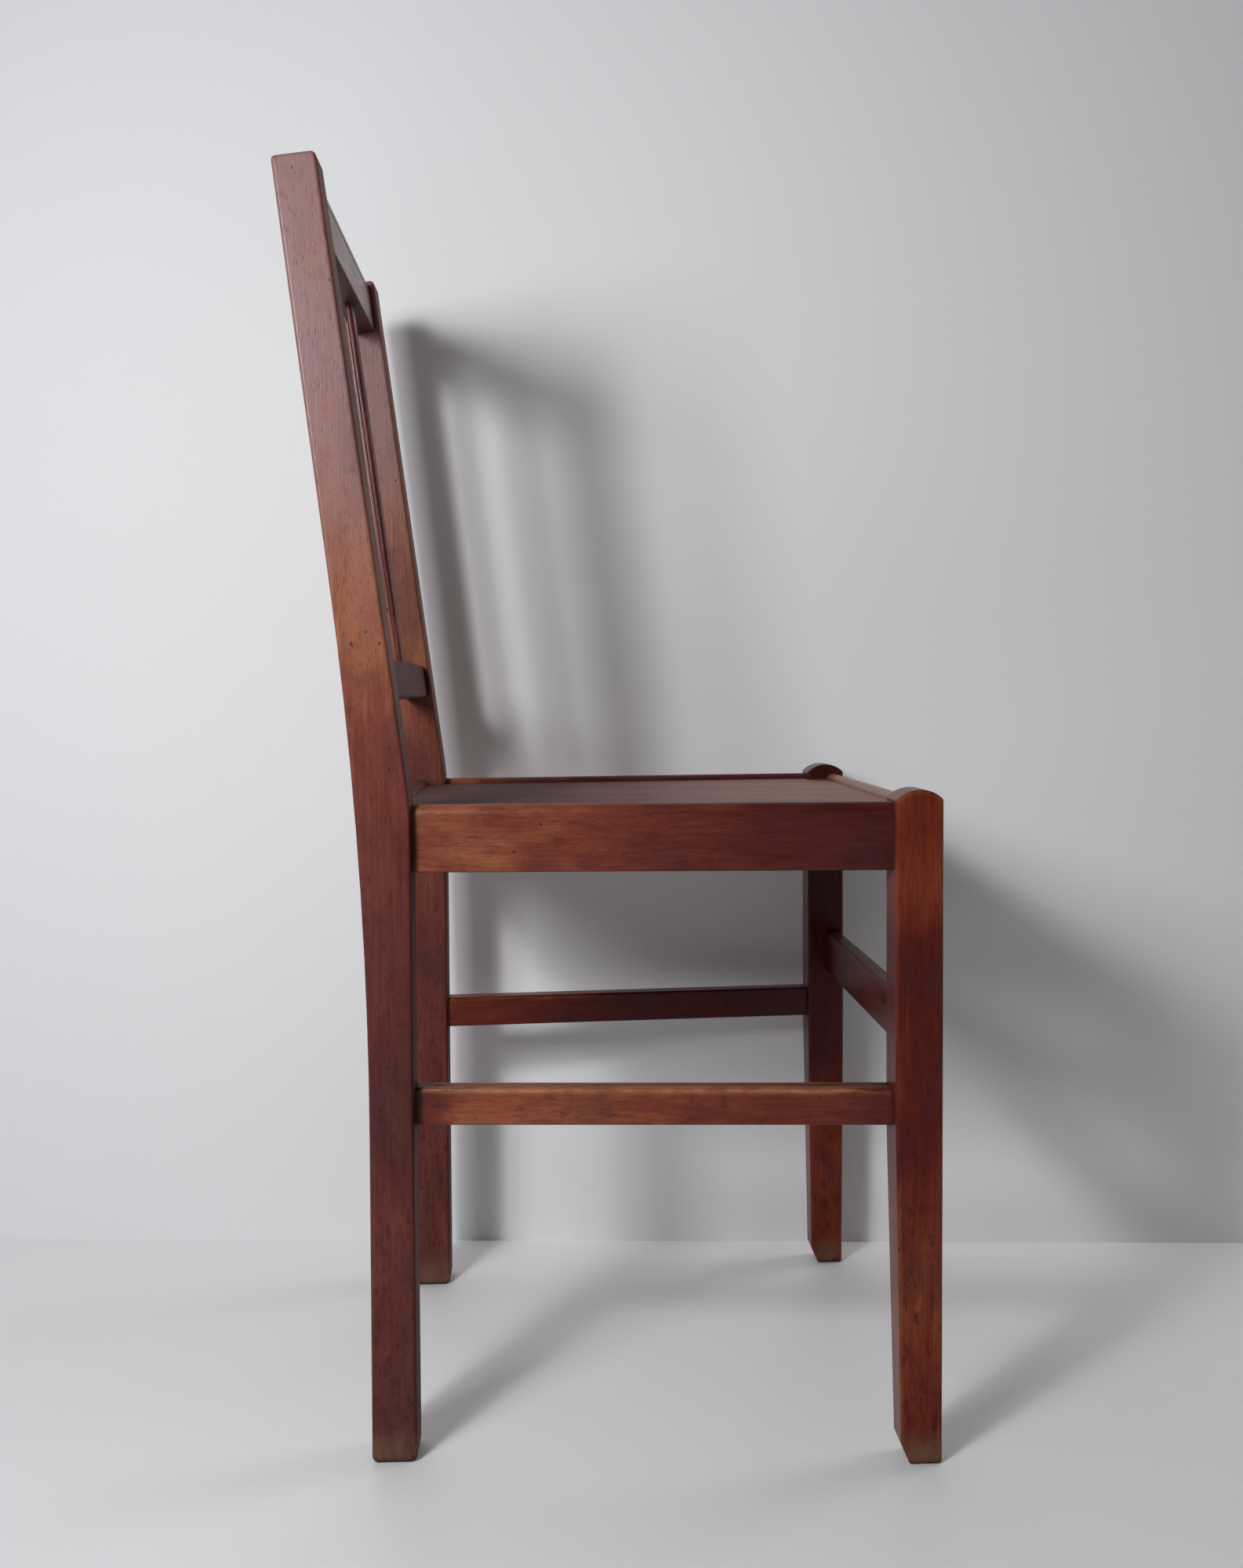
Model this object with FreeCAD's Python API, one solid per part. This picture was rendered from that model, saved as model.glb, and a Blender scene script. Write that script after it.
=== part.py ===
import FreeCAD, Part
import math
import os

# Bistro side chair in stained wood, sizes in millimetres.
# The front of the chair faces -Y, the sitter's left is +X, and +Z is up.
# Depths are measured back from the front faces of the front legs while the pieces are made.
# At the end everything is moved so that the origin is on the floor under the middle of the chair.

V = FreeCAD.Vector
X_AXIS = V(1, 0, 0)
Z_AXIS = V(0, 0, 1)

# Main sizes
seat_height = 452.0
post_height = 882.8
front_width = 408.0
rear_width = 362.0
seat_depth = 355.5

# Front legs
front_leg_rise = 8.5
front_leg_width = 34.5
front_leg_depth = 32.0
front_foot_width = 25.5
front_foot_depth = 28.0
front_taper_height = 229.0
front_dome_rise = 7.0
front_leg_arris = 2.5
front_leg_end_ease = 1.5
heel_chamfer_height = 15.0
heel_chamfer_depth = 6.0

# Rear posts, each sawn in one piece with its leg
rear_post_width = 34.5
rear_foot_kick = 2.5
rear_foot_depth = 31.0
rear_foot_radius = 4.5
post_depth = 29.5
back_rake = 7.25
front_knee_drop = 2.0
front_knee_radius = 300.0
back_knee_drop = 36.0
back_knee_radius = 3000.0
post_top_front_radius = 3.5
post_top_back_radius = 3.0
post_arris = 2.5

# Seat rails with a half-round nose and a ledge for the seat panel
rail_height = 46.0
rail_thickness = 23.0
nose_width = 14.0
rail_arris = 1.5
side_rail_setback = 8.5
front_rail_setback = 2.5
rear_rail_setback = 28.5
rail_tenon_inset = 4.0
rail_tenon_margin = 8.0

# Seat panel
panel_recess = 4.7
panel_thickness = 5.0
panel_clearance = 0.4

# Stretchers
side_stretcher_top = 257.5
side_stretcher_height = 26.0
side_stretcher_thickness = 17.0
side_stretcher_setback = 11.5
front_stretcher_top = 308.5
front_stretcher_height = 36.0
front_stretcher_thickness = 13.0
front_stretcher_setback = 2.5
stretcher_arris = 2.0
stretcher_tenon_margin = 4.0

# Back rails and slats
back_rail_setback = 5.0
back_rail_thickness = 19.0
crest_height = 42.0
crest_drop = 1.5
crest_front_round = 5.5
crest_back_round = 4.0
crest_bead_height = 8.5
crest_quirk_width = 1.6
crest_quirk_depth = 1.2
lower_rail_lift = 76.0
lower_rail_height = 27.0
slat_offset = 52.0
slat_width = 21.0
slat_thickness = 5.5
slat_edge_round = 2.2
slat_seat = 10.0

# Joints
tenon_thickness = 8.0
tenon_length = 15.0
mortise_clearance = 0.15

# Corner blocks, their screws and the seat panel's brads
block_reach = 52.0
block_height = 26.0
block_lift = 3.0
block_clearance = 0.3
screw_diameter = 4.0
screw_head_diameter = 8.0
screw_head_height = 2.6
screw_grip = 11.0
brad_width = 1.5
brad_head_width = 2.8
brad_head_height = 0.8
brad_length = 15.0
brad_end_margin = 40.0
brads_per_side_rail = 4
brads_per_front_rail = 4
brads_per_rear_rail = 3
fastener_clearance = 0.1

# Sizes that follow from the ones above
rail_bottom = seat_height - rail_height
panel_top = seat_height - panel_recess
ledge_height = panel_top - panel_thickness
rear_rail_place = seat_depth + rear_rail_setback
front_leg_height = seat_height + front_leg_rise
front_knee_height = seat_height - front_knee_drop
back_knee_height = seat_height - back_knee_drop
front_inner = front_width / 2 - front_leg_width
rear_inner = rear_width / 2 - rear_post_width
rake = math.radians(back_rake)
post_reach = (post_height - front_knee_height) / math.cos(rake)
overlap = 10.0
join_tolerance = 0.01
tiny = 1e-6


def outline(corners):
    """Closed wire from (a, b, radius) corners in the local XZ plane, rounded by tangent arcs."""
    points = [V(a, 0, b) for a, b, radius in corners]
    starts = []
    arcs = []
    for i, (a, b, radius) in enumerate(corners):
        here = points[i]
        to_last = (points[i - 1] - here).normalize()
        to_next = (points[(i + 1) % len(points)] - here).normalize()
        if radius == 0:
            starts.append((here, here))
            arcs.append(None)
            continue
        half = to_last.getAngle(to_next) / 2
        run = radius / math.tan(half)
        middle = (to_last + to_next).normalize() * (radius / math.sin(half) - radius)
        starts.append((here + to_last * run, here + to_next * run))
        arcs.append(here + middle)
    edges = []
    for i, (arc_start, arc_end) in enumerate(starts):
        if arcs[i] is not None:
            edges.append(Part.Arc(arc_start, arcs[i], arc_end).toShape())
        next_start = starts[(i + 1) % len(starts)][0]
        if arc_end.distanceToPoint(next_start) > tiny:
            edges.append(Part.LineSegment(arc_end, next_start).toShape())
    return Part.Wire(edges)


def prism(corners, length, start=0.0):
    """Solid of a local XZ outline drawn out along local +Y, from start over a length."""
    solid = Part.Face(outline(corners)).extrude(V(0, length, 0))
    solid.translate(V(0, start, 0))
    return solid


def along_x(corners, low, high):
    """Solid of a (depth, height) outline that runs along X from low to high."""
    solid = prism(corners, high - low)
    solid.Placement = FreeCAD.Placement(V(high, 0, 0), FreeCAD.Rotation(Z_AXIS, 90))
    return solid


def box(low, high):
    """Box between two corners."""
    size = high - low
    return Part.makeBox(size.x, size.y, size.z, low)


def grown_box(low, high, clearance):
    """Box between two corners, larger by a clearance on every side."""
    edge = V(clearance, clearance, clearance)
    return box(low - edge, high + edge)


def bar(width, height, radius, low_x, low_z):
    """Corners of a rectangular section with eased edges."""
    high_x = low_x + width
    high_z = low_z + height
    return [(low_x, low_z, radius), (high_x, low_z, radius),
            (high_x, high_z, radius), (low_x, high_z, radius)]


def mirrored(shape):
    """The same piece for the sitter's right."""
    return shape.mirror(V(0, 0, 0), X_AXIS)


# Rear posts
def rear_post_blank():
    """Left rear post before its mortises are cut: straight leg, bend at the seat, raked back."""
    foot_front = seat_depth + rear_foot_kick
    foot_back = foot_front + rear_foot_depth
    top_front = seat_depth + (post_height - front_knee_height) * math.tan(rake)
    top_back = top_front + post_depth * math.cos(rake)
    top_back_height = post_height - post_depth * math.sin(rake)
    lean = (seat_depth - foot_front) / front_knee_height
    knee_back = foot_front + lean * back_knee_height + post_depth
    corners = [
        (foot_front, 0, rear_foot_radius),
        (foot_back, 0, rear_foot_radius),
        (knee_back, back_knee_height, back_knee_radius),
        (top_back, top_back_height, post_top_back_radius),
        (top_front, post_height, post_top_front_radius),
        (seat_depth, front_knee_height, front_knee_radius),
    ]
    solid = along_x(corners, rear_inner, rear_width / 2)
    rims = [edge for edge in solid.Edges if edge.BoundBox.XLength < tiny]
    return solid.makeFillet(post_arris, rims)


# Front legs
def front_leg_side_form():
    """Side outline of a front leg, with its domed top and chamfered heel, as wide as the leg."""
    shoulder = front_leg_height - front_dome_rise
    taper = (front_leg_depth - front_foot_depth) / front_taper_height
    heel_back = front_foot_depth + taper * heel_chamfer_height
    front_top = V(front_inner, 0, shoulder)
    back_top = V(front_inner, front_leg_depth, shoulder)
    crown = V(front_inner, front_leg_depth / 2, front_leg_height)
    sides = Part.makePolygon([
        front_top,
        V(front_inner, 0, 0),
        V(front_inner, front_foot_depth - heel_chamfer_depth, 0),
        V(front_inner, heel_back, heel_chamfer_height),
        V(front_inner, front_leg_depth, front_taper_height),
        back_top,
    ])
    dome = Part.Arc(back_top, crown, front_top).toShape()
    return Part.Face(Part.Wire([dome] + sides.Edges)).extrude(V(front_leg_width, 0, 0))


def eased_uprights(block):
    """A block with its upright edges rounded like the front legs' arrises."""
    uprights = [edge for edge in block.Edges if edge.BoundBox.ZLength > tiny]
    return block.makeFillet(front_leg_arris, uprights)


def front_leg_blank():
    """Left front leg before its mortises: tapered on two faces below, straight above, eased edges."""
    outer = front_width / 2
    across = prism([
        (outer, 0, 0),
        (outer, front_taper_height, 0),
        (front_inner, front_taper_height, 0),
        (outer - front_foot_width, 0, 0),
    ], front_leg_depth)
    depthwise = along_x([
        (0, 0, 0),
        (front_foot_depth, 0, 0),
        (front_leg_depth, front_taper_height, 0),
        (0, front_taper_height, 0),
    ], front_inner, outer)
    lower = eased_uprights(across.common(depthwise))
    upper = eased_uprights(box(V(front_inner, 0, front_taper_height),
                               V(outer, front_leg_depth, front_leg_height)))
    solid = lower.fuse((upper,), join_tolerance).removeSplitter().common(front_leg_side_form())
    top_rim = [edge for edge in solid.Edges if edge.BoundBox.ZMin > front_taper_height + tiny]
    solid = solid.makeFillet(front_leg_end_ease, top_rim)
    sole_rim = [edge for edge in solid.Edges if edge.BoundBox.ZMax < tiny]
    return solid.makeChamfer(front_leg_end_ease, sole_rim)


# Seat rails
def seat_rail_corners(outer, inward):
    """Section of a seat rail: half-round nose at the outer face, ledge on the inner side."""
    nose_radius = nose_width / 2
    nose_inner = outer + inward * nose_width
    inner = outer + inward * rail_thickness
    corners = [
        (outer, rail_bottom, rail_arris),
        (inner, rail_bottom, rail_arris),
        (inner, ledge_height, 0),
        (nose_inner, ledge_height, 0),
        (nose_inner, seat_height, nose_radius),
        (outer, seat_height, nose_radius),
    ]
    return corners


def slanted_frame(setback):
    """Place and length of a left side member's outer face, from rear post to front leg."""
    rear = V(rear_width / 2 - setback, seat_depth, 0)
    front = V(front_width / 2 - setback, front_leg_depth, 0)
    run = front - rear
    turn = math.degrees(math.atan2(-run.x, -run.y))
    return FreeCAD.Placement(rear, FreeCAD.Rotation(Z_AXIS, 180 - turn)), run.Length


def tenon(thickness_low, low, high, start, length):
    """Tenon in a side member's own frame: across, along and up."""
    return box(V(thickness_low, start, low), V(thickness_low + tenon_thickness, start + length, high))


def with_tenons(blank, tenons):
    """A member fused with its tenons into one solid."""
    return blank.multiFuse(tenons).removeSplitter()


def placed(shape, placement):
    """Copy of a shape moved from its own frame into the chair's."""
    moved = shape.copy()
    moved.Placement = placement.multiply(moved.Placement)
    return moved


post = rear_post_blank()
leg = front_leg_blank()
mortises_in_post = []
mortises_in_leg = []


def slanted_member(corners, setback, tenon_inset, tenon_low, tenon_high):
    """Left side member with shoulders cut to the post and the leg, and a tenon at each end."""
    frame, length = slanted_frame(setback)
    body = placed(prism(corners, length + 2 * overlap, -overlap), frame).cut(post).cut(leg)
    ends = [(-tenon_length, tenon_length + overlap, mortises_in_post),
            (length - overlap, tenon_length + overlap, mortises_in_leg)]
    tenons = []
    for start, reach, mortises in ends:
        tenons.append(placed(tenon(tenon_inset, tenon_low, tenon_high, start, reach), frame))
        low = V(tenon_inset, start, tenon_low)
        high = V(tenon_inset + tenon_thickness, start + reach, tenon_high)
        mortises.append(placed(grown_box(low, high, mortise_clearance), frame))
    return with_tenons(body, tenons)


rail_tenon_low = rail_bottom + rail_tenon_margin
rail_tenon_high = ledge_height - rail_tenon_margin
side_rail = slanted_member(seat_rail_corners(0, 1), side_rail_setback, rail_tenon_inset,
                           rail_tenon_low, rail_tenon_high)

stretcher_bottom = side_stretcher_top - side_stretcher_height
side_stretcher = slanted_member(
    bar(side_stretcher_thickness, side_stretcher_height, stretcher_arris, 0, stretcher_bottom),
    side_stretcher_setback, (side_stretcher_thickness - tenon_thickness) / 2,
    stretcher_bottom + stretcher_tenon_margin, side_stretcher_top - stretcher_tenon_margin)


# Members that run straight across
def cross_member(corners, inner, holder, mortises, tenon_place, tenon_low, tenon_high, frame):
    """Member between the two sides, shouldered against their inner faces, with a tenon at each end."""
    body = placed(along_x(corners, -inner - overlap, inner + overlap), frame)
    body = body.cut(holder).cut(mirrored(holder))
    low = V(inner - overlap, tenon_place, tenon_low)
    high = V(inner + tenon_length, tenon_place + tenon_thickness, tenon_high)
    left = placed(box(low, high), frame)
    mortises.append(placed(grown_box(low, high, mortise_clearance), frame))
    return with_tenons(body, [left, mirrored(left)])


level = FreeCAD.Placement()
front_rail = cross_member(seat_rail_corners(front_rail_setback, 1), front_inner, leg, mortises_in_leg,
                          front_rail_setback + rail_tenon_inset, rail_tenon_low, rail_tenon_high, level)
rear_rail = cross_member(seat_rail_corners(rear_rail_place, -1), rear_inner, post, mortises_in_post,
                         rear_rail_place - rail_tenon_inset - tenon_thickness,
                         rail_tenon_low, rail_tenon_high, level)
front_stretcher_bottom = front_stretcher_top - front_stretcher_height
front_stretcher = cross_member(
    bar(front_stretcher_thickness, front_stretcher_height, stretcher_arris,
        front_stretcher_setback, front_stretcher_bottom),
    front_inner, leg, mortises_in_leg,
    front_stretcher_setback + (front_stretcher_thickness - tenon_thickness) / 2,
    front_stretcher_bottom + stretcher_tenon_margin, front_stretcher_top - stretcher_tenon_margin, level)

# Back rails and slats, drawn in the raked plane of the posts' front faces
raked = FreeCAD.Placement(V(0, seat_depth, front_knee_height), FreeCAD.Rotation(X_AXIS, -back_rake))
back_front = back_rail_setback
back_back = back_rail_setback + back_rail_thickness
back_tenon_place = back_rail_setback + (back_rail_thickness - tenon_thickness) / 2
crest_top = post_reach - crest_drop
crest_bottom = crest_top - crest_height
quirk_top = crest_top - crest_bead_height
crest_corners = [
    (back_front, crest_bottom, rail_arris),
    (back_back, crest_bottom, rail_arris),
    (back_back, crest_top, crest_back_round),
    (back_front, crest_top, crest_front_round),
    (back_front, quirk_top, 0),
    (back_front + crest_quirk_depth, quirk_top - crest_quirk_width / 2, 0),
    (back_front, quirk_top - crest_quirk_width, 0),
]
crest_rail = cross_member(crest_corners, rear_inner, post, mortises_in_post, back_tenon_place,
                          crest_bottom + rail_tenon_margin, quirk_top - rail_tenon_margin / 2, raked)
lower_rail_top = lower_rail_lift + lower_rail_height
lower_back_rail = cross_member(
    bar(back_rail_thickness, lower_rail_height, rail_arris, back_front, lower_rail_lift),
    rear_inner, post, mortises_in_post, back_tenon_place,
    lower_rail_lift + stretcher_tenon_margin, lower_rail_top - stretcher_tenon_margin, raked)


def slat_solid(clearance):
    """Left slat, housed at both ends, or with a clearance the room that it needs."""
    low = lower_rail_top - slat_seat - clearance
    high = crest_bottom + slat_seat + clearance
    width = slat_width + 2 * clearance
    thickness = slat_thickness + 2 * clearance
    front = back_rail_setback + (back_rail_thickness - thickness) / 2
    wire = outline(bar(width, thickness, slat_edge_round, slat_offset - width / 2, front))
    wire.Placement = FreeCAD.Placement(V(0, 0, high), FreeCAD.Rotation(X_AXIS, -90))
    return placed(Part.Face(wire).extrude(V(0, 0, low - high)), raked)


back_slat = slat_solid(0)
slat_room = slat_solid(mortise_clearance)
crest_rail = crest_rail.cut(slat_room).cut(mirrored(slat_room))
lower_back_rail = lower_back_rail.cut(slat_room).cut(mirrored(slat_room))

# Seat panel, lying on the ledges and notched round the legs and posts
rail_frame, rail_length = slanted_frame(side_rail_setback)
panel_side = nose_width + panel_clearance
panel_front = front_rail_setback + nose_width + panel_clearance
panel_back = rear_rail_place - nose_width - panel_clearance


def side_point(across, depth):
    """Point at a distance inside the left side rail's outer face, where it crosses a depth."""
    start = rail_frame.multVec(V(across, 0, 0))
    ahead = rail_frame.multVec(V(across, 1, 0)) - start
    return start + ahead * ((depth - start.y) / ahead.y)


front_corner = side_point(panel_side, panel_front)
back_corner = side_point(panel_side, panel_back)
panel_plan = [V(front_corner.x, panel_front, ledge_height), V(back_corner.x, panel_back, ledge_height),
              V(-back_corner.x, panel_back, ledge_height), V(-front_corner.x, panel_front, ledge_height)]
panel_face = Part.Face(Part.makePolygon(panel_plan + panel_plan[:1]))
seat_panel = panel_face.extrude(V(0, 0, panel_thickness))
leg_notch = box(V(front_inner - panel_clearance, -panel_clearance, 0),
                V(front_width, front_leg_depth + panel_clearance, post_height))
post_notch = box(V(rear_inner - panel_clearance, seat_depth - panel_clearance, 0),
                 V(rear_width, seat_depth + front_width, post_height))
for notch in (leg_notch, post_notch):
    seat_panel = seat_panel.cut(notch).cut(mirrored(notch))


# Corner blocks and their screws
def screw_form(length):
    """Flat-headed screw along +Z, its head behind the face that it clamps."""
    head = Part.makeCylinder(screw_head_diameter / 2, screw_head_height, V(0, 0, -screw_head_height))
    return head.fuse(Part.makeCylinder(screw_diameter / 2, length)).removeSplitter()


def screw_hole(length):
    """Hole for a screw of this length."""
    return Part.makeCylinder(screw_diameter / 2 + fastener_clearance, length + fastener_clearance)


def corner_block(cross_face, holder_low, holder_high, towards):
    """Left block glued in a corner of the seat frame and screwed to the leg or post there."""
    base = rail_bottom + block_lift
    corner = side_point(rail_thickness, cross_face)
    on_side = side_point(rail_thickness, cross_face + towards * block_reach)
    on_cross = V(corner.x - block_reach, cross_face, 0)
    plan = [V(point.x, point.y, base) for point in (corner, on_side, on_cross, corner)]
    block = Part.Face(Part.makePolygon(plan)).extrude(V(0, 0, block_height))
    block = block.cut(grown_box(holder_low, holder_high, block_clearance))
    middle = (on_side + on_cross) * 0.5 + V(0, 0, base + block_height / 2)
    inward = V(on_cross.y - on_side.y, on_side.x - on_cross.x, 0).normalize()
    if inward.x < 0:
        inward = inward * -1
    target = V(holder_low.x, holder_high.y if towards > 0 else holder_low.y, middle.z)
    length = (target - middle).dot(inward) + screw_grip
    place = FreeCAD.Placement(middle, FreeCAD.Rotation(Z_AXIS, inward))
    hole = placed(screw_hole(length), place)
    return block.cut(hole), placed(screw_form(length), place), hole


front_block, front_screw, front_screw_hole = corner_block(
    front_rail_setback + rail_thickness, V(front_inner, 0, 0),
    V(front_width / 2, front_leg_depth, front_leg_height), 1)
rear_block, rear_screw, rear_screw_hole = corner_block(
    rear_rail_place - rail_thickness, V(rear_inner, seat_depth, 0),
    V(rear_width / 2, seat_depth + front_leg_depth, post_height), -1)
screws = [front_screw, rear_screw, mirrored(front_screw), mirrored(rear_screw)]


# Brads that hold the seat panel on the ledges
def brad_form(extra):
    """Square cut brad pointing down from the panel's top, larger by an allowance."""
    head_edge = brad_head_width / 2 + extra
    shank_edge = brad_width / 2 + extra
    head = box(V(-head_edge, -head_edge, -brad_head_height - extra), V(head_edge, head_edge, 0))
    shank = box(V(-shank_edge, -shank_edge, -brad_length - extra), V(shank_edge, shank_edge, 0))
    return head.fuse(shank).removeSplitter()


def spaced(low, high, count):
    """Evenly spaced places from low to high."""
    return [low + (high - low) * i / (count - 1) for i in range(count)]


brad_inset = (rail_thickness - nose_width) / 2
brad_places = []
for depth in spaced(front_leg_depth + brad_end_margin, seat_depth - brad_end_margin, brads_per_side_rail):
    point = side_point(nose_width + brad_inset, depth)
    brad_places.append(point)
    brad_places.append(V(-point.x, point.y, 0))
front_brad_depth = front_rail_setback + nose_width + brad_inset
rear_brad_depth = rear_rail_place - nose_width - brad_inset
for x in spaced(brad_end_margin - front_inner, front_inner - brad_end_margin, brads_per_front_rail):
    brad_places.append(V(x, front_brad_depth, 0))
for x in spaced(brad_end_margin - rear_inner, rear_inner - brad_end_margin, brads_per_rear_rail):
    brad_places.append(V(x, rear_brad_depth, 0))


def brads_at_places(extra):
    """All brads, or with an allowance the holes that they need."""
    form = brad_form(extra)
    spots = [FreeCAD.Placement(V(p.x, p.y, panel_top), FreeCAD.Rotation()) for p in brad_places]
    return [placed(form, spot) for spot in spots]


brads = brads_at_places(0)
brad_holes = Part.makeCompound(brads_at_places(fastener_clearance))
seat_panel = seat_panel.cut(brad_holes)
front_rail = front_rail.cut(brad_holes)
rear_rail = rear_rail.cut(brad_holes)
left_side_rail = side_rail.cut(brad_holes)

# Mortises and screw holes in the upright pieces
leg = leg.cut(Part.makeCompound(mortises_in_leg)).cut(front_screw_hole)
post = post.cut(Part.makeCompound(mortises_in_post)).cut(rear_screw_hole)

pieces = {
    "front_leg_left": leg,
    "front_leg_right": mirrored(leg),
    "rear_post_left": post,
    "rear_post_right": mirrored(post),
    "side_rail_left": left_side_rail,
    "side_rail_right": mirrored(left_side_rail),
    "front_rail": front_rail,
    "rear_rail": rear_rail,
    "seat_panel": seat_panel,
    "side_stretcher_left": side_stretcher,
    "side_stretcher_right": mirrored(side_stretcher),
    "front_stretcher": front_stretcher,
    "crest_rail": crest_rail,
    "lower_back_rail": lower_back_rail,
    "back_slat_left": back_slat,
    "back_slat_right": mirrored(back_slat),
    "corner_block_front_left": front_block,
    "corner_block_front_right": mirrored(front_block),
    "corner_block_rear_left": rear_block,
    "corner_block_rear_right": mirrored(rear_block),
    "corner_block_screws": Part.makeCompound(screws),
    "seat_panel_brads": Part.makeCompound(brads),
}

# The origin goes to the floor under the middle of the whole chair
extent = Part.makeCompound(list(pieces.values())).optimalBoundingBox()
to_origin = V(-extent.Center.x, -extent.Center.y, -extent.ZMin)

os.makedirs("parts", exist_ok=True)
for name, shape in pieces.items():
    moved = shape.copy()
    moved.translate(to_origin)
    moved.exportStep("parts/" + name + ".step")
    print(name, len(moved.Solids), "solids", round(moved.Volume), "mm3", "valid", moved.isValid())
print("size", round(extent.XLength, 2), round(extent.YLength, 2), round(extent.ZLength, 2))
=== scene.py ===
import math
from typing import NamedTuple

import bmesh
import bpy
from bpy.types import NodeSocket
from mathutils import Matrix, Vector


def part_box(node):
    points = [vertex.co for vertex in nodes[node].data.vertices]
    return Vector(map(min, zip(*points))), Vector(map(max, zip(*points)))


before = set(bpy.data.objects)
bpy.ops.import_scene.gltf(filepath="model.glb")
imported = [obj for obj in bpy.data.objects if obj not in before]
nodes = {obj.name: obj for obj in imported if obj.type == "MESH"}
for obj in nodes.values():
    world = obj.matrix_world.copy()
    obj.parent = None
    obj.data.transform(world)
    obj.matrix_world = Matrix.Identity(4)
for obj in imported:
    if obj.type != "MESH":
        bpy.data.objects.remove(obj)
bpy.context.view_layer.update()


class Ease(NamedTuple):
    """A value that eases from first to last while its cause goes from start to end."""
    start: float
    end: float
    first: float = 0.0
    last: float = 1.0


class Grain(NamedTuple):
    """A noise drawn out along the grain, with its features per metre across and along it."""
    across: float
    along: float
    detail: float
    roughness: float = 0.5
    distortion: float = 0.0


class Lamp(NamedTuple):
    """A rectangular soft light: its place, the point it faces, its size in metres and its power in watts."""
    place: tuple
    aim: tuple
    width: float
    height: float
    power: float
    colour: tuple = (1, 1, 1)


# Camera, solved from the chair's own edges in the photograph
IMAGE_LONG_SIDE = 2000
FOCAL_PIXELS = 2015.1
SENSOR = 36.0
CLIP_START = 0.02
CAMERA_PLACE = Vector((-1.2420, 0.0358, 0.5266))
CAMERA_YAW = -0.0394
CAMERA_PITCH = -0.0578
CAMERA_ROLL = 0.0088

# Colours in linear light, with each stain from its deepest tone to its lightest
STAIN_DEEP = (0.038, 0.005, 0.004)
BROWN_STAIN = (STAIN_DEEP, (0.085, 0.014, 0.010), (0.150, 0.034, 0.019), (0.255, 0.083, 0.036))
RED_STAIN = (STAIN_DEEP, (0.090, 0.009, 0.004), (0.155, 0.027, 0.011), (0.260, 0.075, 0.026))
STAIN_PURPLE = (0.055, 0.012, 0.014)
# Pale tone of the posts' tops: a hazy varnish, and partly a painted sheen
HAZE_AND_SHEEN = (0.200, 0.117, 0.117)
WORN_EDGE = (0.360, 0.150, 0.062)
# Pale worn edge, partly a painted highlight
PALE_WEAR_AND_HIGHLIGHT = (0.520, 0.260, 0.125)
SCUFFED_FOOT = (0.150, 0.080, 0.050)
# Grime, also used as painted shade in crevices and on undersides
GRIME_AND_SHADE = (0.022, 0.012, 0.008)
BARE_BEECH = (0.400, 0.230, 0.120)
BEECH_FIBRE = (0.270, 0.140, 0.065)
BEECH_STAIN = (0.100, 0.050, 0.025)
STEEL = (0.170, 0.160, 0.150)
RUST = (0.090, 0.040, 0.020)
BACKDROP = (0.60, 0.605, 0.63)
FLOOR_COLOUR = (0.70, 0.70, 0.71)
WALL_COLOUR = (0.81, 0.81, 0.82)
SKYLIGHT = (0.96, 0.98, 1.0)
DAYLIGHT = (0.98, 0.99, 1.0)


# Building of node trees
OCCLUSION_SAMPLES = 8


def shader(name):
    """A new material with its node tree and its principled shader."""
    material = bpy.data.materials.new(name)
    material.use_nodes = True
    tree = material.node_tree
    return material, tree, tree.nodes["Principled BSDF"]


def add(tree, kind, **settings):
    """A node of a kind with its settings."""
    node = tree.nodes.new(kind)
    for key, value in settings.items():
        setattr(node, key, value)
    return node


def feed(tree, source, target):
    """Links an output socket, or sets a plain value, on an input socket."""
    if isinstance(source, NodeSocket):
        tree.links.new(source, target)
    else:
        target.default_value = source


def calculate(tree, operation, *values, clamp=False):
    """A math node's result."""
    node = add(tree, "ShaderNodeMath", operation=operation, use_clamp=clamp)
    for value, target in zip(values, node.inputs):
        feed(tree, value, target)
    return node.outputs[0]


def combine(tree, operation, first, *others):
    """Several values taken together, one after the other, by the same operation."""
    for other in others:
        first = calculate(tree, operation, first, other)
    return first


def eased(tree, cause, ease):
    """The value of an ease for its cause, level beyond both ends."""
    node = add(tree, "ShaderNodeMapRange", interpolation_type="SMOOTHSTEP")
    for value, target in zip((cause, *ease), node.inputs):
        feed(tree, value, target)
    return node.outputs[0]


def mixed(tree, factor, first, second):
    """Two colours mixed by a factor."""
    node = add(tree, "ShaderNodeMix", data_type="RGBA")
    feed(tree, factor, node.inputs["Factor"])
    for colour, target in ((first, node.inputs[6]), (second, node.inputs[7])):
        feed(tree, colour if isinstance(colour, NodeSocket) else (*colour, 1), target)
    return node.outputs[2]


def split(tree, vector):
    """The three outputs of a vector."""
    node = add(tree, "ShaderNodeSeparateXYZ")
    tree.links.new(vector, node.inputs[0])
    return node.outputs


def grain_noise(tree, place, grain):
    """A noise whose grain runs along Z."""
    mapping = add(tree, "ShaderNodeMapping")
    mapping.inputs["Scale"].default_value = (grain.across, grain.across, grain.along)
    tree.links.new(place, mapping.inputs["Vector"])
    noise = add(tree, "ShaderNodeTexNoise", normalize=True)
    noise.inputs["Scale"].default_value = 1.0
    noise.inputs["Detail"].default_value = grain.detail
    noise.inputs["Roughness"].default_value = grain.roughness
    noise.inputs["Distortion"].default_value = grain.distortion
    tree.links.new(mapping.outputs[0], noise.inputs["Vector"])
    return noise.outputs["Fac"]


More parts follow.
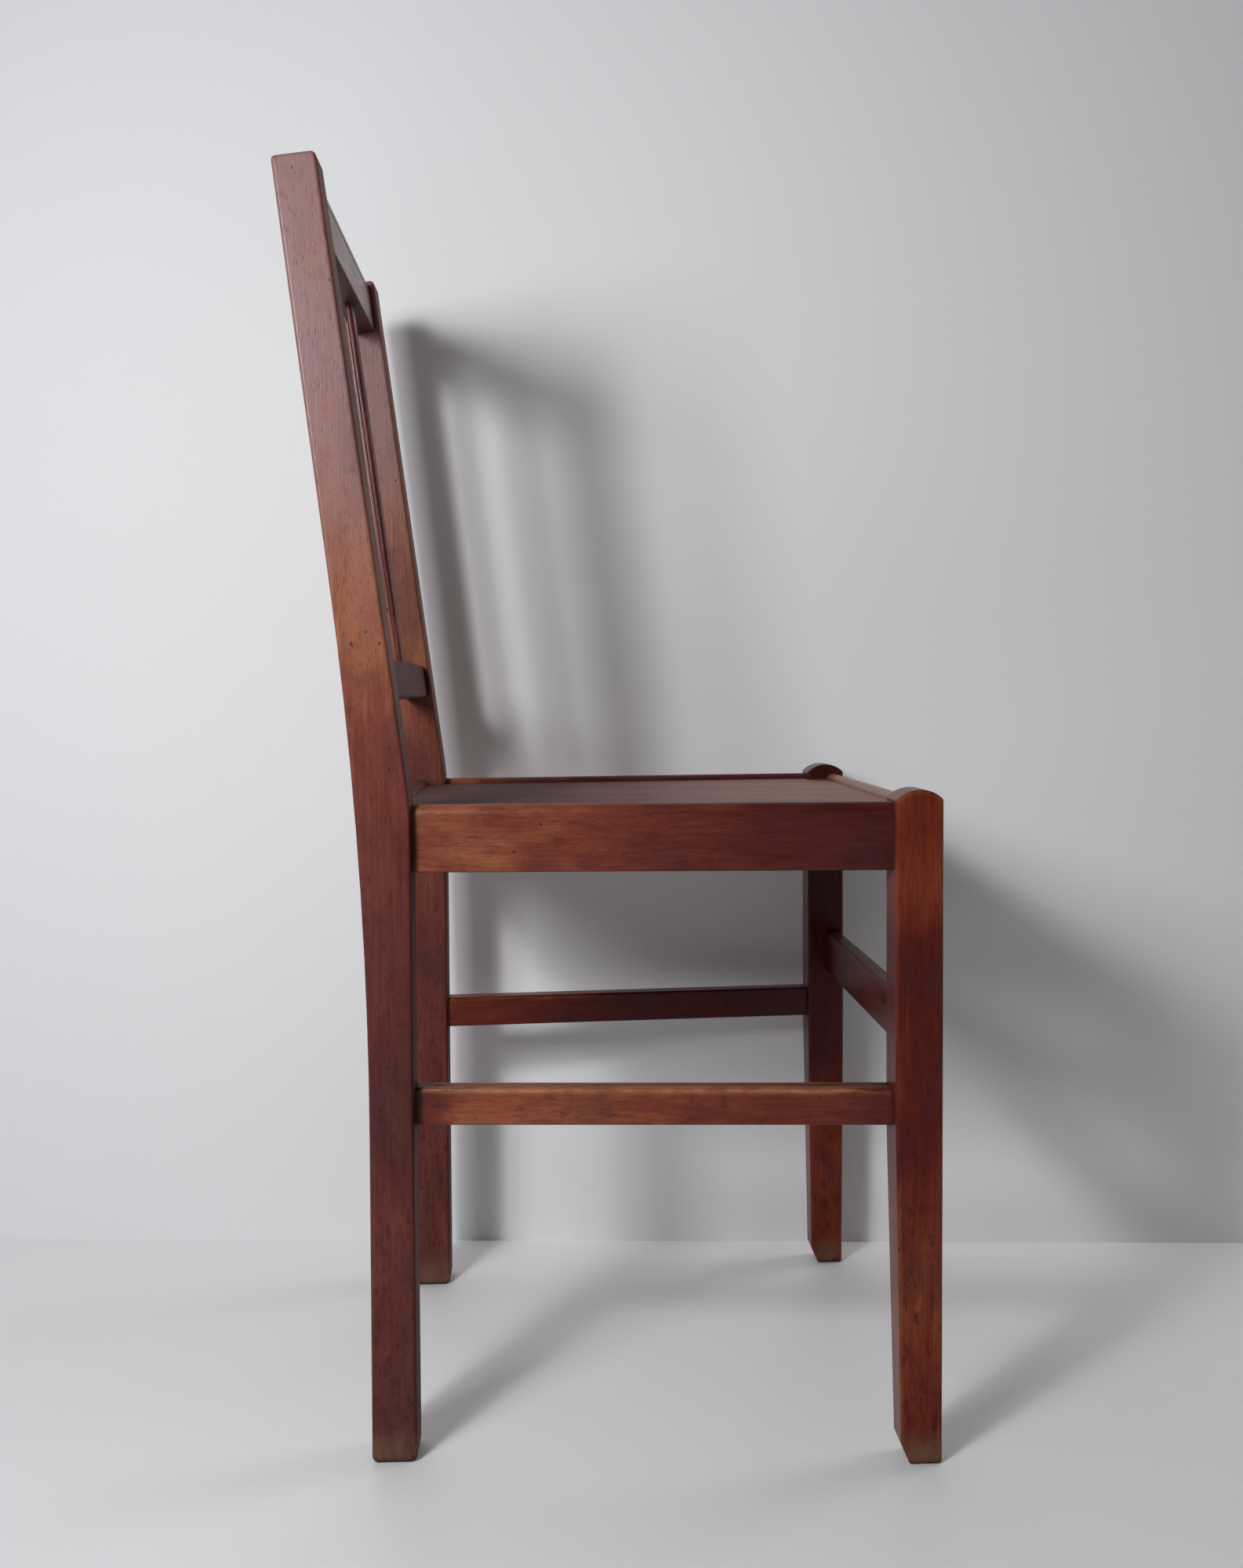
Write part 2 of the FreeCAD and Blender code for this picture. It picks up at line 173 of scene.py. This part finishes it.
def occlusion(tree, distance, **settings):
    """How open the surface is, within a distance."""
    node = add(tree, "ShaderNodeAmbientOcclusion", samples=OCCLUSION_SAMPLES, **settings)
    node.inputs["Distance"].default_value = distance
    return node.outputs["AO"]


def emboss(tree, principled, height, strength, depth):
    """Gives a shader a fine relief, with its depth in metres."""
    bump = add(tree, "ShaderNodeBump")
    bump.inputs["Strength"].default_value = strength
    bump.inputs["Distance"].default_value = depth
    tree.links.new(height, bump.inputs["Height"])
    tree.links.new(bump.outputs[0], principled.inputs["Normal"])


def passing_into(tree, factor, near, far):
    """A shader that passes from one into another by a factor."""
    blend = add(tree, "ShaderNodeMixShader")
    tree.links.new(factor, blend.inputs[0])
    tree.links.new(near.outputs[0], blend.inputs[1])
    tree.links.new(far.outputs[0], blend.inputs[2])
    return blend


def cover(tree, surface):
    """Makes a shader the one that the material shows."""
    tree.links.new(surface.outputs[0], tree.nodes["Material Output"].inputs["Surface"])


# Stained wood: the turn that brings each grain axis to Z, and the shares of a shift along the axes
GRAIN_TURNS = {
    "X": (0.0, math.radians(90), 0.0),
    "Y": (math.radians(90), 0.0, 0.0),
    "Z": (0.0, 0.0, 0.0),
}
SHIFT_SHARES = (1.0, 1.7, 0.6)

# Noises of the wood, from broad to fine
CLOUD_GRAIN = Grain(16, 7, 3, 0.5, 0.4)
PURPLE_GRAIN = Grain(24, 13, 3, 0.55, 0.3)
PATCH_GRAIN = Grain(75, 22, 4, 0.6, 0.3)
RUB_GRAIN = Grain(150, 45, 4, 0.65)
SPOT_GRAIN = Grain(170, 95, 4, 0.6)
DENT_GRAIN = Grain(210, 130, 2)
FIBRE_GRAIN = Grain(420, 16, 4, 0.65)
FLECK_GRAIN = Grain(900, 110, 2)

# Tones of a stain's two middle colours, and how far the noises sway the tone about their mean
DEEP_TONE = 0.33
LIGHT_TONE = 0.66
NOISE_MEAN = 0.5
CLOUD_SWAY = 0.75
PATCH_SWAY = 0.60
FIBRE_SWAY = 0.60

# Marks in the stain, by their noise and by height
PURPLE_BY_NOISE = Ease(0.46, 0.70, last=0.55)
FLECK_BY_NOISE = Ease(0.58, 0.72, last=0.55)
DENT_BY_NOISE = Ease(0.70, 0.76, last=0.75)
SPOT_BY_NOISE = Ease(0.50, 0.72)
SPOT_BY_HEIGHT = Ease(0.08, 0.40, 0.75, 0.25)

# Haze and painted sheen up the posts, which leave out their front faces; these get painted shade instead
HAZE_AND_SHEEN_BY_PATCH = Ease(0.2, 0.6, 0.6, 1.0)
# Painted shade on the posts' front faces, which are also rougher
FRONT_BY_FACING = Ease(-0.9, -0.3, 1.0, 0.0)
FRONT_SHADE_STRENGTH = 0.6

# Marks of the arrises (worn wood, partly a painted highlight on the pale edges, and painted shade on the
# posts), by how near the edge is, how open the corner is, the tone and a noise
CORNER_REACH = 0.014
ARRIS_BY_EDGE = Ease(0.45, 0.92, 1.0, 0.0)
ARRIS_BY_OPENNESS = Ease(0.60, 0.95)
ARRIS_BY_TONE = Ease(0.15, 0.50)
RUB_START = 0.38
RUB_END = 0.60
LEAST_RUB = 0.35
WORN_BLEND = 0.004

# End grain, scuffs of the feet, grime on the soles, and painted shade in the crevices and on the undersides
END_BY_FACING = Ease(0.75, 0.97, last=0.6)
SCUFF_BY_HEIGHT = Ease(0.004, 0.030, 0.75, 0.0)
SCUFF_BY_PATCH = Ease(0.3, 0.6)
CREVICE_SHADE_BY_OPENNESS = Ease(0.35, 0.75, 0.85, 0.0)
SOLE_BY_HEIGHT = Ease(0.0, 0.004, 0.8, 0.0)
UNDERSIDE_SHADE_BY_FACING = Ease(-0.9, -0.5, 0.7, 0.0)

# Roughness that each cause adds, and the relief
PATCH_ROUGHNESS = 0.18
DIRT_ROUGHNESS = 0.3
RUBBED_ROUGHNESS = 0.3
FRONT_ROUGHNESS = 0.4
MARK_DEPTH = -0.8
RELIEF_DEPTH = 0.0003


class Finish(NamedTuple):
    """The finish of one piece of wood.

    grain is the axis that the grain follows, and shift moves the pattern so that no two pieces match.
    tones gives the stain's tone, from 0, the deepest, to 1, at places along the grain, in metres; on the far
    pieces it also holds painted shade.
    wear is how strongly the arrises take the arris colour: worn wood, partly a painted highlight where it is
    the pale edge, and painted shade on the posts; reach is how far in from the arris that goes, in metres.
    With worn_depth, only the arrises within that depth of the piece's top take it.
    dulled is the roughness that the varnish gains along the grain.
    haze_and_sheen is how far the varnish turns pale with height: partly a dull, hazy varnish and partly a
    painted sheen.
    """
    grain: str
    shift: float
    tones: tuple
    wear: float
    reach: float = 0.005
    worn_depth: float = None
    roughness: float = 0.30
    dulled: Ease = None
    specular: float = 0.18
    relief: float = 0.3
    stain: tuple = BROWN_STAIN
    arris: tuple = WORN_EDGE
    haze_and_sheen: Ease = None


class Wood(NamedTuple):
    """What the layers of one finish share: the node tree, and outputs of its nodes.

    place has its Z along the grain, along is the distance along the grain, and level is the height.
    """
    tree: bpy.types.NodeTree
    finish: Finish
    place: NodeSocket
    along: NodeSocket
    level: NodeSocket
    facing: bpy.types.NodeOutputs
    patch: NodeSocket
    fibre: NodeSocket
    openness: NodeSocket


def begin_wood(tree, finish):
    """The shared outputs of a finish."""
    coordinates = add(tree, "ShaderNodeTexCoord").outputs
    axes = split(tree, coordinates["Object"])
    turn = add(tree, "ShaderNodeMapping")
    turn.inputs["Location"].default_value = [finish.shift * share for share in SHIFT_SHARES]
    turn.inputs["Rotation"].default_value = GRAIN_TURNS[finish.grain]
    tree.links.new(coordinates["Object"], turn.inputs["Vector"])
    place = turn.outputs[0]
    return Wood(
        tree, finish, place,
        along=axes[finish.grain],
        level=axes["Z"],
        facing=split(tree, coordinates["Normal"]),
        patch=grain_noise(tree, place, PATCH_GRAIN),
        fibre=grain_noise(tree, place, FIBRE_GRAIN),
        openness=occlusion(tree, CORNER_REACH),
    )


def stain_tone(wood):
    """The stain's tone, which goes from one given tone to the next and sways with the noises."""
    tree = wood.tree
    tones = wood.finish.tones
    tone = tones[0][1]
    for (start, first), (end, second) in zip(tones, tones[1:]):
        change = eased(tree, wood.along, Ease(start, end, last=second - first))
        tone = calculate(tree, "ADD", tone, change)
    cloud = grain_noise(tree, wood.place, CLOUD_GRAIN)
    for noise, sway in ((cloud, CLOUD_SWAY), (wood.patch, PATCH_SWAY), (wood.fibre, FIBRE_SWAY)):
        tone = calculate(tree, "MULTIPLY_ADD", calculate(tree, "SUBTRACT", noise, NOISE_MEAN), sway, tone)
    return tone


def stain_colour(wood, tone):
    """The colour of the stain at a tone, with purplish clouds."""
    tree = wood.tree
    deepest, deep, light, lightest = wood.finish.stain
    ramp = add(tree, "ShaderNodeValToRGB")
    stops = ramp.color_ramp.elements
    stops[0].color = (*deepest, 1)
    stops[1].color = (*lightest, 1)
    stops.new(DEEP_TONE).color = (*deep, 1)
    stops.new(LIGHT_TONE).color = (*light, 1)
    tree.links.new(tone, ramp.inputs[0])
    purple = eased(tree, grain_noise(tree, wood.place, PURPLE_GRAIN), PURPLE_BY_NOISE)
    return mixed(tree, purple, ramp.outputs[0], STAIN_PURPLE)


def haze_sheen_and_front_shade(wood, colour, front):
    """A post's colour under its pale, hazy varnish and painted sheen, with painted shade on its front face.
    """
    tree = wood.tree
    by_height = eased(tree, wood.level, wood.finish.haze_and_sheen)
    haze_and_sheen = calculate(tree, "MULTIPLY", by_height, eased(tree, wood.patch, HAZE_AND_SHEEN_BY_PATCH))
    colour = mixed(tree, calculate(tree, "SUBTRACT", haze_and_sheen, front, clamp=True), colour, HAZE_AND_SHEEN)
    # Painted shade on the front faces
    return mixed(tree, calculate(tree, "MULTIPLY", front, FRONT_SHADE_STRENGTH), colour, STAIN_DEEP)


def sunk_marks(wood):
    """Flecks of the grain and dents, which also show in the relief."""
    tree = wood.tree
    flecks = eased(tree, grain_noise(tree, wood.place, FLECK_GRAIN), FLECK_BY_NOISE)
    dents = eased(tree, grain_noise(tree, wood.place, DENT_GRAIN), DENT_BY_NOISE)
    return calculate(tree, "MAXIMUM", flecks, dents)


def dark_spots(wood):
    """Spots of deep stain, stronger near the floor."""
    tree = wood.tree
    spots = eased(tree, grain_noise(tree, wood.place, SPOT_GRAIN), SPOT_BY_NOISE)
    return calculate(tree, "MULTIPLY", spots, eased(tree, wood.level, SPOT_BY_HEIGHT))


def arris_wear_and_light(wood, tone, top):
    """How strongly the arrises of a piece whose top is at a height take the arris colour: worn wood, partly a
    painted highlight on the pale edges, and painted shade on the posts.
    """
    tree = wood.tree
    finish = wood.finish
    edge = occlusion(tree, finish.reach, inside=True, only_local=True)
    causes = [
        eased(tree, edge, ARRIS_BY_EDGE),
        eased(tree, wood.openness, ARRIS_BY_OPENNESS),
        eased(tree, tone, ARRIS_BY_TONE),
        eased(tree, grain_noise(tree, wood.place, RUB_GRAIN),
              Ease(RUB_START, RUB_END, finish.wear * LEAST_RUB, finish.wear)),
    ]
    if finish.worn_depth:
        worn_above = top - finish.worn_depth
        causes.append(eased(tree, wood.level, Ease(worn_above - WORN_BLEND, worn_above)))
    return combine(tree, "MULTIPLY", *causes)


def end_grain(wood):
    """How far the surface faces along the grain, where it takes more stain."""
    facing = calculate(wood.tree, "ABSOLUTE", wood.facing[wood.finish.grain])
    return eased(wood.tree, facing, END_BY_FACING)


def scuffs(wood):
    """Scuffs round the feet."""
    low = eased(wood.tree, wood.level, SCUFF_BY_HEIGHT)
    return calculate(wood.tree, "MULTIPLY", low, eased(wood.tree, wood.patch, SCUFF_BY_PATCH))


def grime_and_painted_shade(wood):
    """Grime on the soles, grime and painted shade in the crevices, and painted shade on the undersides."""
    crevice = eased(wood.tree, wood.openness, CREVICE_SHADE_BY_OPENNESS)
    sole = eased(wood.tree, wood.level, SOLE_BY_HEIGHT)
    underside = eased(wood.tree, wood.facing["Z"], UNDERSIDE_SHADE_BY_FACING)
    return combine(wood.tree, "MAXIMUM", crevice, sole, underside)


def varnish_roughness(wood, added):
    """The roughness of patchy varnish, with what each (cause, roughness) adds to it."""
    tree = wood.tree
    finish = wood.finish
    rough = finish.roughness - PATCH_ROUGHNESS / 2
    for cause, roughness in ((wood.patch, PATCH_ROUGHNESS), *added):
        rough = calculate(tree, "MULTIPLY_ADD", cause, roughness, rough)
    if finish.dulled:
        rough = calculate(tree, "ADD", rough, eased(tree, wood.along, finish.dulled))
    return rough


def stained_wood(name, finish, top):
    """Old stained and varnished beech, for a piece whose top is at a height."""
    material, tree, principled = shader(name)
    wood = begin_wood(tree, finish)
    tone = stain_tone(wood)
    marks = sunk_marks(wood)
    edge_wear_and_light = arris_wear_and_light(wood, tone, top)
    scuffed = scuffs(wood)
    grime_and_shade_mask = grime_and_painted_shade(wood)
    colour = stain_colour(wood, tone)
    roughnesses = [(calculate(tree, "MAXIMUM", grime_and_shade_mask, scuffed), DIRT_ROUGHNESS), (edge_wear_and_light, RUBBED_ROUGHNESS)]
    # Only the posts have this: painted sheen up them, and painted shade on their front faces
    if finish.haze_and_sheen:
        front = eased(tree, wood.facing["Y"], FRONT_BY_FACING)
        colour = haze_sheen_and_front_shade(wood, colour, front)
        roughnesses.append((front, FRONT_ROUGHNESS))

    layers = (
        (calculate(tree, "MAXIMUM", marks, dark_spots(wood)), STAIN_DEEP),
        # Arris colour: wear, painted highlight on pale edges, painted shade on the posts
        (edge_wear_and_light, finish.arris),
        (end_grain(wood), STAIN_DEEP),
        (scuffed, SCUFFED_FOOT),
        # Grime on the soles, painted shade in crevices and on undersides
        (grime_and_shade_mask, GRIME_AND_SHADE),
    )
    for factor, layer in layers:
        colour = mixed(tree, factor, colour, layer)
    tree.links.new(colour, principled.inputs["Base Color"])
    tree.links.new(varnish_roughness(wood, roughnesses), principled.inputs["Roughness"])
    principled.inputs["Specular IOR Level"].default_value = finish.specular
    height = calculate(tree, "MULTIPLY_ADD", marks, MARK_DEPTH, wood.fibre)
    emboss(tree, principled, height, finish.relief, RELIEF_DEPTH)
    return material


# Bare wood of the corner blocks
BLOCK_FIBRE_GRAIN = Grain(400, 30, 4, 0.6)
BLOCK_STAIN_GRAIN = Grain(60, 40, 3, 0.6)
BLOCK_FIBRE_BY_NOISE = Ease(0.3, 0.7)
BLOCK_STAIN_BY_NOISE = Ease(0.45, 0.75, last=0.6)
BLOCK_ROUGHNESS = 0.75
BLOCK_RELIEF = 0.4
BLOCK_RELIEF_DEPTH = 0.0005


def bare_wood(name):
    """Unfinished beech with some old stains."""
    material, tree, principled = shader(name)
    spot = add(tree, "ShaderNodeTexCoord").outputs["Object"]
    fibre = grain_noise(tree, spot, BLOCK_FIBRE_GRAIN)
    stain = grain_noise(tree, spot, BLOCK_STAIN_GRAIN)
    colour = mixed(tree, eased(tree, fibre, BLOCK_FIBRE_BY_NOISE), BEECH_FIBRE, BARE_BEECH)
    colour = mixed(tree, eased(tree, stain, BLOCK_STAIN_BY_NOISE), colour, BEECH_STAIN)
    tree.links.new(colour, principled.inputs["Base Color"])
    principled.inputs["Roughness"].default_value = BLOCK_ROUGHNESS
    emboss(tree, principled, fibre, BLOCK_RELIEF, BLOCK_RELIEF_DEPTH)
    return material


# Steel of the screws and brads
RUST_GRAIN = Grain(900, 900, 4, 0.6)
RUST_BY_NOISE = Ease(0.42, 0.66)
METAL_BY_RUST = Ease(0.0, 1.0, 0.85, 0.25)
ROUGHNESS_BY_RUST = Ease(0.0, 1.0, 0.42, 0.8)


def old_steel(name):
    """Dark, lightly rusted steel."""
    material, tree, principled = shader(name)
    spot = add(tree, "ShaderNodeTexCoord").outputs["Object"]
    rust = eased(tree, grain_noise(tree, spot, RUST_GRAIN), RUST_BY_NOISE)
    tree.links.new(mixed(tree, rust, STEEL, RUST), principled.inputs["Base Color"])
    tree.links.new(eased(tree, rust, METAL_BY_RUST), principled.inputs["Metallic"])
    tree.links.new(eased(tree, rust, ROUGHNESS_BY_RUST), principled.inputs["Roughness"])
    return material


# Finishes of the pieces, of which the right ones are near the camera and the left ones far from it
NEAR_POST_TONES = ((0.03, 0.34), (0.14, 0.40), (0.25, 0.18), (0.42, 0.40), (0.48, 0.66), (0.58, 1.05))
FAR_POST_TONES = ((0.20, 0.46), (0.34, 0.38), (0.46, 0.66), (0.60, 0.95))
NEAR_LEG_TONES = ((0.03, 0.52), (0.13, 0.78), (0.24, 0.26), (0.34, 0.26), (0.40, 0.64), (0.44, 0.48))
# The far front leg is darker above the seat's shadow line: painted shade
FAR_LEG_SHADED_TONES = ((0.08, 0.52), (0.20, 0.12), (0.40, 0.08))
SIDE_RAIL_TONES = ((-0.17, 0.10), (-0.11, 0.22), (-0.035, 0.46), (0.04, 0.74), (0.10, 0.78))
NEAR_STRETCHER_TONES = (
    (-0.18, 0.22), (-0.14, 0.46), (-0.036, 0.68), (0.05, 0.90), (0.105, 0.90), (0.125, 0.45),
)
# The far side stretcher's deep tone is partly painted shade
FAR_STRETCHER_SHADED_TONES = ((-0.18, 0.10), (0.10, 0.35))
# The seat's stain darkens towards its back
SEAT_TONES = ((-0.15, 0.88), (0.10, 0.14))
SLAT_TONES = ((0.50, 0.30), (0.85, 0.20))
NEAR_POST_HAZE_AND_SHEEN = Ease(0.53, 0.74, 0.07, 0.9)
FAR_POST_HAZE_AND_SHEEN = Ease(0.60, 0.82, 0.07, 0.9)
SEAT_DULLED = Ease(-0.05, 0.05, last=0.5)
RAIL_WORN_DEPTH = 0.022
SIDE_STRETCHER_WORN_DEPTH = 0.0105
FRONT_STRETCHER_WORN_DEPTH = 0.0135


def even(tone):
    """The tones of a piece that has the same tone all along."""
    return ((0.0, tone),)


FINISHES = {
    # The posts' deep arris colour is painted shade along their arrises
    "rear_post_right": Finish("Z", 0.11, NEAR_POST_TONES, wear=0.45, arris=STAIN_DEEP, haze_and_sheen=NEAR_POST_HAZE_AND_SHEEN),
    "rear_post_left": Finish("Z", 0.47, FAR_POST_TONES, wear=0.45, arris=STAIN_DEEP, haze_and_sheen=FAR_POST_HAZE_AND_SHEEN),
    "front_leg_right": Finish("Z", 0.83, NEAR_LEG_TONES, wear=0.40, specular=0.14, stain=RED_STAIN),
    "front_leg_left": Finish("Z", 1.29, FAR_LEG_SHADED_TONES, wear=0.30, specular=0.14, stain=RED_STAIN),
    "side_rail_right": Finish("Y", 1.91, SIDE_RAIL_TONES, wear=0.30, reach=0.007, worn_depth=RAIL_WORN_DEPTH),
    "side_rail_left": Finish("Y", 2.21, SIDE_RAIL_TONES, wear=0.30, reach=0.007, worn_depth=RAIL_WORN_DEPTH),
    # The front rail's pale nose is wear and partly a painted highlight
    "front_rail": Finish("X", 2.57, even(0.55), wear=0.90, reach=0.012, worn_depth=RAIL_WORN_DEPTH,
                         arris=PALE_WEAR_AND_HIGHLIGHT),
    "rear_rail": Finish("X", 3.07, even(0.40), wear=0.30),
    "seat_panel": Finish("Y", 3.41, SEAT_TONES, wear=0.20, roughness=0.48, dulled=SEAT_DULLED, specular=0.25),
    # The near stretcher's pale top arris is wear and partly a painted highlight
    "side_stretcher_right": Finish("Y", 3.97, NEAR_STRETCHER_TONES, wear=1.00, reach=0.008,
                                   worn_depth=SIDE_STRETCHER_WORN_DEPTH, specular=0.28, stain=RED_STAIN,
                                   arris=PALE_WEAR_AND_HIGHLIGHT),
    "side_stretcher_left": Finish("Y", 4.31, FAR_STRETCHER_SHADED_TONES, wear=0.40, reach=0.008,
                                  worn_depth=SIDE_STRETCHER_WORN_DEPTH, stain=RED_STAIN),
    # The front stretcher's deep tone is partly painted shade
    "front_stretcher": Finish("X", 4.79, even(0.22), wear=0.40, reach=0.008,
                              worn_depth=FRONT_STRETCHER_WORN_DEPTH, stain=RED_STAIN),
    "crest_rail": Finish("X", 5.23, even(0.35), wear=0.30, specular=0.14, relief=0.9),
    "lower_back_rail": Finish("X", 5.71, even(0.20), wear=0.30, roughness=0.75, specular=0.14),
    "back_slat_left": Finish("Z", 6.17, SLAT_TONES, wear=0.20),
    "back_slat_right": Finish("Z", 6.61, SLAT_TONES, wear=0.20),
}
STEEL_NODES = ("corner_block_screws", "seat_panel_brads")
BLOCK_NODES = [f"corner_block_{end}_{side}" for end in ("front", "rear") for side in ("left", "right")]


def dress(name, material):
    """Gives a node one material."""
    materials = nodes[name].data.materials
    materials.clear()
    materials.append(material)


for name, finish in FINISHES.items():
    _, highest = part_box(name)
    dress(name, stained_wood(name + "_finish", finish, highest[2]))

block_look = bare_wood("block_beech")
for name in BLOCK_NODES:
    dress(name, block_look)

steel_look = old_steel("old_steel")
for name in STEEL_NODES:
    dress(name, steel_look)

# Stage, whose floor and wall fade with the distance from the chair
ROOM_RADIUS = 9.0
FLOOR_SIDES = 96
FLOOR_FADE = Ease(0.70, 1.05)
FLOOR_ROUGHNESS = 0.5
WALL_PLACE = 0.25
WALL_TURN = math.radians(4.3)
WALL_EYE_LEVEL = 0.45
WALL_FADE = Ease(1.15, 1.80)
WALL_ROUGHNESS = 0.9
GLOBE_SUBDIVISIONS = 4


def stage_piece(name, points, faces, material):
    """A mesh object in the scene, with its material."""
    mesh = bpy.data.meshes.new(name)
    mesh.from_pydata(points, [], faces)
    mesh.materials.append(material)
    piece = bpy.data.objects.new(name, mesh)
    bpy.context.scene.collection.objects.link(piece)
    return piece


def distance_from(tree, centre):
    """How far the shaded spot is from a point."""
    node = add(tree, "ShaderNodeVectorMath", operation="DISTANCE")
    tree.links.new(add(tree, "ShaderNodeNewGeometry").outputs["Position"], node.inputs[0])
    node.inputs[1].default_value = centre
    return node.outputs["Value"]


def backdrop_glow(tree):
    """The even tone of the backdrop."""
    glow = add(tree, "ShaderNodeEmission")
    glow.inputs["Color"].default_value = (*BACKDROP, 1)
    return glow


def floor_look():
    """Smooth pale floor that takes the backdrop's tone away from the chair and is clear from below."""
    material, tree, principled = shader("pale_floor")
    principled.inputs["Base Color"].default_value = (*FLOOR_COLOUR, 1)
    principled.inputs["Roughness"].default_value = FLOOR_ROUGHNESS
    rays = add(tree, "ShaderNodeLightPath").outputs
    seen = calculate(tree, "MAXIMUM", rays["Is Camera Ray"], rays["Is Glossy Ray"])
    far = eased(tree, distance_from(tree, (0, 0, 0)), FLOOR_FADE)
    surface = passing_into(tree, calculate(tree, "MULTIPLY", seen, far), principled, backdrop_glow(tree))
    behind = add(tree, "ShaderNodeNewGeometry").outputs["Backfacing"]
    below = calculate(tree, "MULTIPLY", behind, rays["Is Camera Ray"])
    cover(tree, passing_into(tree, below, surface, add(tree, "ShaderNodeBsdfTransparent")))
    material.cycles.emission_sampling = "NONE"
    return material


def wall_look():
    """Plain pale wall, seen from its front and near the chair only, so that it never hides the chair."""
    material, tree, principled = shader("pale_plaster")
    principled.inputs["Base Color"].default_value = (*WALL_COLOUR, 1)
    principled.inputs["Roughness"].default_value = WALL_ROUGHNESS
    far = eased(tree, distance_from(tree, (WALL_PLACE, 0, WALL_EYE_LEVEL)), WALL_FADE)
    behind = add(tree, "ShaderNodeNewGeometry").outputs["Backfacing"]
    clear = calculate(tree, "MAXIMUM", behind, far)
    cover(tree, passing_into(tree, clear, principled, add(tree, "ShaderNodeBsdfTransparent")))
    return material


def backdrop_look():
    """Even pale tone far behind everything."""
    material, tree, _ = shader("pale_backdrop")
    cover(tree, backdrop_glow(tree))
    material.cycles.emission_sampling = "NONE"
    return material


def make_floor():
    """A level disc."""
    turns = [2 * math.pi * side / FLOOR_SIDES for side in range(FLOOR_SIDES)]
    points = [(ROOM_RADIUS * math.cos(turn), ROOM_RADIUS * math.sin(turn), 0.0) for turn in turns]
    return stage_piece("floor", points, [list(range(FLOOR_SIDES))], floor_look())


def make_wall():
    """An upright sheet on the far side of the chair. It takes shadows and casts none."""
    corners = [(0.0, -ROOM_RADIUS, 0.0), (0.0, -ROOM_RADIUS, ROOM_RADIUS),
               (0.0, ROOM_RADIUS, ROOM_RADIUS), (0.0, ROOM_RADIUS, 0.0)]
    wall = stage_piece("wall", corners, [(0, 1, 2, 3)], wall_look())
    wall.location.x = WALL_PLACE
    wall.rotation_euler.z = -WALL_TURN
    wall.visible_shadow = False
    return wall


def make_backdrop():
    """A globe round everything, which only the camera sees."""
    backdrop = stage_piece("backdrop", [], [], backdrop_look())
    globe = bmesh.new()
    bmesh.ops.create_icosphere(globe, subdivisions=GLOBE_SUBDIVISIONS, radius=2 * ROOM_RADIUS)
    globe.to_mesh(backdrop.data)
    globe.free()
    backdrop.visible_shadow = False
    backdrop.visible_diffuse = False
    backdrop.visible_glossy = False
    return backdrop


floor = make_floor()
backdrop = make_backdrop()
wall = make_wall()

# Light, with the strength of the sky by its direction
SKY_BY_Y = Ease(-0.7, 0.7, 0.015, 0.10)
SKY_BY_X = Ease(0.0, 0.7, last=0.26)
SKY_BY_Z = Ease(0.3, 0.9, last=0.12)
ABOVE_SEAT = (0.0, 0.05, 0.5)
MIDDLE = (0.0, 0.0, 0.4)
LAMPS = {
    "window": Lamp((-1.12, 0.72, 0.95), ABOVE_SEAT, width=0.45, height=0.40, power=10.8, colour=DAYLIGHT),
    "window_heart": Lamp((-1.02, 0.60, 0.99), ABOVE_SEAT, width=0.11, height=0.16, power=5.2,
                         colour=DAYLIGHT),
    "far_side": Lamp((1.9, 0.1, 0.8), MIDDLE, width=1.8, height=1.2, power=14.0),
    "front": Lamp((0.70, -2.1, 0.75), MIDDLE, width=1.0, height=1.1, power=17.0),
}


def light_sky():
    """A dim sky, lighter above and to the back and far sides."""
    world = bpy.data.worlds.new("studio")
    bpy.context.scene.world = world
    world.use_nodes = True
    tree = world.node_tree
    background = tree.nodes["Background"]
    background.inputs["Color"].default_value = (*SKYLIGHT, 1)
    heading = split(tree, add(tree, "ShaderNodeTexCoord").outputs["Generated"])
    eases = (("Y", SKY_BY_Y), ("X", SKY_BY_X), ("Z", SKY_BY_Z))
    parts = [eased(tree, heading[axis], ease) for axis, ease in eases]
    tree.links.new(combine(tree, "ADD", *parts), background.inputs["Strength"])


def hang(name, lamp):
    """Puts a lamp in the scene."""
    data = bpy.data.lights.new(name, "AREA")
    data.shape = "RECTANGLE"
    data.size = lamp.width
    data.size_y = lamp.height
    data.energy = lamp.power
    data.color = lamp.colour
    light = bpy.data.objects.new(name, data)
    light.location = lamp.place
    light.rotation_euler = (Vector(lamp.aim) - Vector(lamp.place)).to_track_quat("-Z", "Y").to_euler()
    bpy.context.scene.collection.objects.link(light)


def photo_camera():
    """The camera at the photograph's viewing angle."""
    data = bpy.data.cameras.new("camera")
    data.sensor_fit = "AUTO"
    data.sensor_width = SENSOR
    data.lens = FOCAL_PIXELS / IMAGE_LONG_SIDE * SENSOR
    data.clip_start = CLIP_START
    camera = bpy.data.objects.new("camera", data)
    level = Vector((math.cos(CAMERA_YAW), math.sin(CAMERA_YAW), 0.0))
    forward = level * math.cos(CAMERA_PITCH) + Vector((0, 0, math.sin(CAMERA_PITCH)))
    flat_right = forward.cross(Vector((0, 0, 1))).normalized()
    right = Matrix.Rotation(CAMERA_ROLL, 3, forward) @ flat_right
    turn = Matrix((right, right.cross(forward), -forward)).transposed().to_4x4()
    camera.matrix_world = Matrix.Translation(CAMERA_PLACE) @ turn
    bpy.context.scene.collection.objects.link(camera)
    return camera


light_sky()
for name, lamp in LAMPS.items():
    hang(name, lamp)
bpy.context.scene.camera = photo_camera()
bpy.context.scene.view_settings.view_transform = "Standard"
